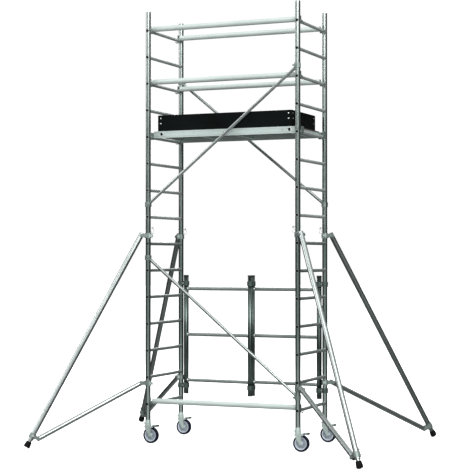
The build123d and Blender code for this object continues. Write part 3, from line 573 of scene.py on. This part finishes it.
def hatch_trim():
    """Screws of the hinge leaves and of the finger slot, on the deck and on the trapdoor."""
    low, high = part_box("trapdoor_hinges")
    fixed, moving = bmesh.new(), bmesh.new()
    hinge_long = 0.094
    for start in (low[0], high[0] - hinge_long):
        for along, bm in ((0.017, fixed), (0.047, moving), (0.077, fixed)):
            y = high[1] - 0.010 if bm is fixed else JOINTS["trapdoor_open"]["pos_m"][1] - 0.028
            place = Matrix.Translation((start + along, y, DECK_Z + 0.003))
            lathe(bm, bolt_profile(0.0045, 0.0016), place, 18)
    piece("hinge_screws_deck", fixed, [MATS["bolt"]], "tower")
    hatch_low, hatch_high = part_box("trapdoor")
    slot_half_long, slot_half_wide = 0.068, 0.018
    x, y = (hatch_low[0] + hatch_high[0]) / 2, hatch_low[1] + 0.054
    for sx in (-1, 1):
        for sy in (-1, 1):
            lathe(moving, bolt_profile(0.0042, 0.0014),
                  Matrix.Translation((x + sx * slot_half_long, y + sy * slot_half_wide,
                                      DECK_Z)), 18)
    piece("trapdoor_screws", moving, [MATS["bolt"]], "trapdoor")


# ---- castors ----------------------------------------------------------------------
def tyre_profile(radius, inner, half):
    """Rounded tread with two shallow grooves, from inner edge to inner edge."""
    points = [(inner, -half + 0.001), (inner + 0.003, -half), (radius - 0.008, -half)]
    for step in range(6):
        turn = math.pi / 2 * step / 5
        points.append((radius - 0.008 + 0.008 * math.sin(turn),
                       -half + 0.008 - 0.008 * math.cos(turn)))
    for centre in (-0.006, 0.006):
        points += [(radius, centre - 0.0016), (radius - 0.0018, centre - 0.0010),
                   (radius - 0.0018, centre + 0.0010), (radius, centre + 0.0016)]
    for step in range(6):
        turn = math.pi / 2 * step / 5
        points.append((radius - 0.008 + 0.008 * math.cos(turn),
                       half - 0.008 + 0.008 * math.sin(turn)))
    points += [(radius - 0.008, half), (inner + 0.003, half), (inner, half - 0.001)]
    return points


def wheel(corner):
    """Tyre and spoked centre of one castor."""
    roll = JOINTS[f"castor_{corner}_roll"]
    centre = Vector(roll["pos_m"])
    place = Matrix.Translation(centre) @ aim((0, 1, 0))
    low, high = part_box(f"castor_{corner}_tyre")
    radius, half = (high[2] - low[2]) / 2, (high[1] - low[1]) / 2
    rim = (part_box(f"castor_{corner}_hub")[1][2] - centre.z)
    bm = bmesh.new()
    lathe(bm, tyre_profile(radius, rim, half), place, 72)
    tyre = piece(f"wheel_tyre_{corner}", bm, [MATS["tyre"]], f"castor_{corner}_wheel")
    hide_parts(f"castor_{corner}_tyre")
    bm = bmesh.new()
    face = HUB_FACE
    lathe(bm, [(rim, -face), (rim + 0.0002, 0), (rim, face), (rim - 0.003, face + 0.0012),
               (rim - 0.008, face + 0.0008), (rim - 0.010, face - 0.006),
               (rim - 0.010, 0.007)], place, 72, 1)
    lathe(bm, [(rim, -face), (rim - 0.003, -face - 0.0012), (rim - 0.008, -face - 0.0008),
               (rim - 0.010, -face + 0.006), (rim - 0.010, -0.007)], place, 72, 1)
    for s in (-1, 1):
        lathe(bm, [(rim - 0.010, s * 0.007), (0.020, s * 0.009)], place, 72, 0)
        lathe(bm, [(0.020, s * 0.009), (0.020, s * 0.019), (0.0175, s * 0.0205),
                   (0.013, s * 0.0205), (0.013, s * 0.0236), (0.0075, s * 0.0238)], place, 48, 1)
        for spoke in range(6):
            turn = Matrix.Rotation(math.pi * spoke / 3, 4, "Z")
            middle = place @ turn @ Vector(((rim + 0.010) / 2, 0, s * 0.0105))
            cuboid(bm, middle, (rim - 0.029, 0.0045, 0.006), turn=aim((0, 1, 0)) @ turn,
                   material=0)
    hub = piece(f"wheel_centre_{corner}", bm, [MATS["hub"], MATS["rim"]],
                f"castor_{corner}_wheel")
    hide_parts(f"castor_{corner}_hub")


def pedal_pad(corner):
    """Rubber ribs on the brake pedal."""
    low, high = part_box(f"castor_{corner}_pedal")
    bm = bmesh.new()
    for step in range(4):
        x = high[0] - 0.0026 - step * 0.0036
        cuboid(bm, (x, (low[1] + high[1]) / 2, high[2] + 0.0006),
               (0.0020, high[1] - low[1] - 0.008, 0.0016))
    piece(f"pedal_pad_{corner}", bm, [MATS["cap"]], f"castor_{corner}_brake",
          smooth=False)


def castor_trim(corner):
    """Bearing ring, seal lip and clamp lug of one castor."""
    x, y = JOINTS[f"castor_{corner}_swivel"]["pos_m"][:2]
    bm = bmesh.new()
    place = Matrix.Translation((x, y, 0))
    lathe(bm, [(0.0277, 0.1640), (0.0290, 0.1655), (0.0290, 0.1690), (0.0277, 0.1705)], place, 48)
    lathe(bm, [(0.0243, 0.2160), (0.0258, 0.2150), (0.0258, 0.1905), (0.0277, 0.1895)], place, 48)
    cuboid(bm, (x - 0.034, y, 0.184), (0.018, 0.008, 0.012))
    piece(f"castor_collar_{corner}", bm, [MATS["zinc"]], "tower", bevel=0.0008)


# ---- stabilisers --------------------------------------------------------------------
def stab_frame(corner):
    """Foot of the upright, outward direction and slide direction of one stabiliser."""
    sx, sy = CORNERS[corner]
    down = Vector(JOINTS[f"stabiliser_{corner}_leg_slide"]["axis"])
    out = Vector((down.x, down.y, 0)).normalized()
    return Vector((sx * HALF_X, sy * HALF_Y, 0)), out, down


def boot(corner):
    """Rubber foot with a rounded edge, ribs, a narrower neck and a lip at its mouth."""
    base, out, down = stab_frame(corner)
    radius, edge, length, pad, neck = 0.030, 0.010, 0.057, 0.024, 0.0245
    tilt = Vector((down.x, down.y, 0)).length
    lift = edge + (radius - edge) * tilt + edge * down.z
    end = base + out * STAB_REACH - down * (lift / -down.z)
    place = Matrix.Translation(end) @ aim(-down)
    bm = bmesh.new()
    profile = [(0, 0.0)]
    for step in range(8):
        turn = math.pi / 2 * step / 7
        profile.append((radius - edge + edge * math.sin(turn), edge - edge * math.cos(turn)))
    profile += [(radius, 0.0138), (radius - 0.0016, 0.0148), (radius - 0.0016, 0.0162),
                (radius, 0.0172), (radius, pad)]
    for share in (0.25, 0.5):
        wide, level = radius + (neck - radius) * share, pad + (length - pad) * share
        profile += [(wide + 0.0003, level - 0.0020), (wide - 0.0012, level - 0.0009),
                    (wide - 0.0012, level + 0.0009), (wide - 0.0003, level + 0.0020)]
    profile += [(neck + 0.0012, length - 0.0080), (neck + 0.0012, length - 0.0025),
                (neck - 0.0012, length), (0.0194, length)]
    lathe(bm, profile, place, 48)
    foot = piece(f"stabiliser_boot_{corner}", bm, [MATS["foot"]], f"stabiliser_{corner}_leg")
    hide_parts(f"stabiliser_{corner}_foot")


def coupler_bolts(corner):
    """Eye bolts with wing nuts that close the couplers round the upright."""
    base, out = stab_frame(corner)[:2]
    # at br the bolts are on the other side, where they stay clear of the folding panel
    across = Vector((-out.y, out.x, 0)) * (-1 if corner == "br" else 1)
    bm = bmesh.new()
    for z in (STAB_TOP_Z, STAB_LOW_Z):
        hub = base + across * 0.0345 + Vector((0, 0, z))
        lathe(bm, [(0, 0.024), (0.0052, 0.024), (0.0052, -0.024), (0, -0.024)],
              Matrix.Translation(hub - out * 0.004), 20)
        cuboid(bm, hub - out * 0.016, (0.020, 0.012, 0.022), turn=aim_x(out))
        hex_head(bm, hub - out * 0.026, -out, 0.0095, 0.010)
        for s in (-1, 1):
            cuboid(bm, hub - out * 0.033 + Vector((0, 0, s * 0.015)), (0.006, 0.004, 0.018),
                   turn=aim_x(out))
    piece(f"coupler_bolts_{corner}", bm, [MATS["zinc"]], f"stabiliser_{corner}",
          smooth=False, bevel=0.0007)


def clamp_screws(corner):
    """Set screw of the brace clamp, on the side away from its hinge bolt."""
    base, out, down = stab_frame(corner)
    across = Vector((-out.y, out.x, 0))
    end = base + out * STAB_REACH
    spot = end - down * (CLAMP_Z / -down.z)
    bm = bmesh.new()
    lathe(bm, [(0.0095, 0.0), (0.0095, 0.0035), (0.0060, 0.0045)],
          Matrix.Translation(spot + across * 0.0305) @ aim(across), 24)
    hex_head(bm, spot + across * 0.0335, across, 0.0062, 0.008)
    piece(f"clamp_screws_{corner}", bm, [MATS["bolt"]], f"stabiliser_{corner}",
          smooth=False)


# ---- build of every piece -------------------------------------------------------
weld_beads()
rung_end_shade_discs()
panel_tubes("left_half_panel")
panel_tubes("right_half_panel")
panel_caps()
hinge_bolts()
joint_clips()
brace_rivets()
toe_bolts()
beam_trim()
deck_screws()
hatch_trim()
for name in CORNERS:
    wheel(name)
    pedal_pad(name)
    castor_trim(name)
    boot(name)
    coupler_bolts(name)
    clamp_screws(name)


# ---- stage, light and camera ---------------------------------------------------
def stage_material(name, color, roughness, glow):
    """Matt material that also shines a little, for the floor."""
    mat = bpy.data.materials.new(name)
    mat.use_nodes = True
    shader = mat.node_tree.nodes["Principled BSDF"]
    shader.inputs["Base Color"].default_value = (*color, 1)
    shader.inputs["Roughness"].default_value = roughness
    socket(shader, "Specular IOR Level", 0.1)
    socket(shader, "Emission Color", (1, 1, 1, 1))
    socket(shader, "Emission Strength", glow)
    return mat


def floor():
    """Pale floor that doesn't colour what stands on it."""
    bpy.ops.mesh.primitive_plane_add(size=160, location=(0, 0, -0.0005))
    plane = bpy.context.object
    plane.name = "floor"
    plane.data.materials.append(stage_material("pale_floor", (0.93, 0.93, 0.93), 0.9, 0.55))
    plane.visible_glossy = False
    plane.visible_diffuse = False


def world_light():
    """Soft surroundings: bright in front and above, dim below and behind, dark at the sides."""
    world = bpy.data.worlds.new("studio")
    bpy.context.scene.world = world
    world.use_nodes = True
    nodes, links = world.node_tree.nodes, world.node_tree.links
    back = nodes["Background"]
    coords = nodes.new("ShaderNodeTexCoord")
    total = None
    for direction, gain, start in ((BRIGHT_FRONT, 0.95, 0.50), (BRIGHT_BACK, 0.22, 0.62),
                                   ((0, 0, 1), 0.80, 0.25), ((0, 0, -1), 0.42, 0.42)):
        dot = nodes.new("ShaderNodeVectorMath")
        dot.operation = "DOT_PRODUCT"
        dot.inputs[1].default_value = Vector(direction).normalized()
        links.new(coords.outputs["Generated"], dot.inputs[0])
        lobe = nodes.new("ShaderNodeMapRange")
        lobe.interpolation_type = "SMOOTHSTEP"
        lobe.inputs["From Min"].default_value = start
        lobe.inputs["From Max"].default_value = min(0.98, start + 0.45)
        lobe.inputs["To Max"].default_value = gain
        links.new(dot.outputs["Value"], lobe.inputs["Value"])
        if total is None:
            total = lobe.outputs["Result"]
            continue
        add = nodes.new("ShaderNodeMath")
        add.operation = "ADD"
        links.new(total, add.inputs[0])
        links.new(lobe.outputs["Result"], add.inputs[1])
        total = add.outputs[0]
    lift = nodes.new("ShaderNodeMath")
    lift.operation = "ADD"
    lift.inputs[1].default_value = 0.10
    links.new(total, lift.inputs[0])
    back.inputs["Color"].default_value = (0.96, 1.0, 0.985, 1)
    links.new(lift.outputs[0], back.inputs["Strength"])


def backdrop():
    """Pale dome that only the camera sees."""
    bpy.ops.mesh.primitive_uv_sphere_add(segments=64, ring_count=32, radius=75)
    dome = bpy.context.object
    dome.name = "backdrop"
    mat = bpy.data.materials.new("backdrop_white")
    mat.use_nodes = True
    shader = mat.node_tree.nodes["Principled BSDF"]
    shader.inputs["Base Color"].default_value = (0, 0, 0, 1)
    shader.inputs["Emission Color"].default_value = (1, 1, 1, 1)
    shader.inputs["Emission Strength"].default_value = 1.0
    dome.data.materials.append(mat)
    for ray in ("visible_glossy", "visible_diffuse", "visible_shadow", "visible_transmission"):
        setattr(dome, ray, False)


def area_light(name, place, target, size, energy):
    """Soft rectangular lamp that faces a point."""
    data = bpy.data.lights.new(name, "AREA")
    data.shape = "RECTANGLE"
    data.size, data.size_y = size
    data.energy = energy
    lamp = bpy.data.objects.new(name, data)
    lamp.location = place
    lamp.rotation_euler = (Vector(target) - Vector(place)).to_track_quat("-Z", "Y").to_euler()
    bpy.context.scene.collection.objects.link(lamp)


CAMERA_PLACE = (5.224, -12.147, 1.734)
CAMERA_HEADING = math.radians(23.34)
CAMERA_TILT = math.radians(0.92)
CAMERA_LENS = 107.7
BRIGHT_FRONT = (math.sin(CAMERA_HEADING), -math.cos(CAMERA_HEADING), 0.45)
BRIGHT_BACK = (-math.sin(CAMERA_HEADING), math.cos(CAMERA_HEADING), 0.35)


def camera():
    """The photo's camera, as fitted to the rung ends."""
    data = bpy.data.cameras.new("camera")
    data.lens = CAMERA_LENS
    data.sensor_width = 36.0
    data.clip_end = 300.0
    cam = bpy.data.objects.new("camera", data)
    cam.location = CAMERA_PLACE
    cam.rotation_euler = (math.pi / 2 + CAMERA_TILT, 0, CAMERA_HEADING)
    bpy.context.scene.collection.objects.link(cam)
    bpy.context.scene.camera = cam


floor()
world_light()
backdrop()
area_light("key", (5.5, -8.5, 7.5), (0, 0, 2.0), (5, 5), 620)
area_light("fill", (-7.0, -5.0, 5.5), (0, 0, 2.0), (4, 4), 220)
area_light("rear", (-4.0, 8.0, 5.5), (0, 0, 2.0), (5, 5), 420)
camera()

view = bpy.context.scene.view_settings
view.view_transform = "Standard"
view.look = "None"
